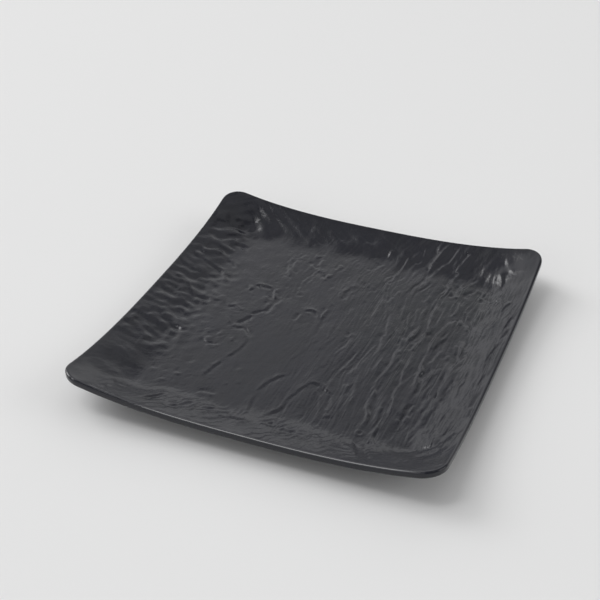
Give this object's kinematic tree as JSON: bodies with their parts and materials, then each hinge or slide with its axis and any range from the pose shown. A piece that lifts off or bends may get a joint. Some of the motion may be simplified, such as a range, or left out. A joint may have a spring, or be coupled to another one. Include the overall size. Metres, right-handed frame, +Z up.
{
  "type": "square dinner plate",
  "caption": "Square dinner plate with a shallow slate-textured dish, turned-up sides, rounded corners that rise higher, a square foot ring and anti-slip pads.",
  "frame": {"origin": "middle of the surface that the plate stands on, under the middle of its dish", "axes": "+Z up, +X to the plate's right, +Y to its back; its front side is -Y"},
  "size_m": [0.26, 0.26, 0.0272],
  "materials": {
    "plate": "black moulded melamine, satin, with a slate texture in the dish and a smooth edge",
    "pad": "matt black silicone"
  },
  "bodies": {
    "root": {"plate_body": "plate", "pad_front_left": "pad", "pad_front_right": "pad", "pad_back_left": "pad", "pad_back_right": "pad"}
  },
  "joints": []
}
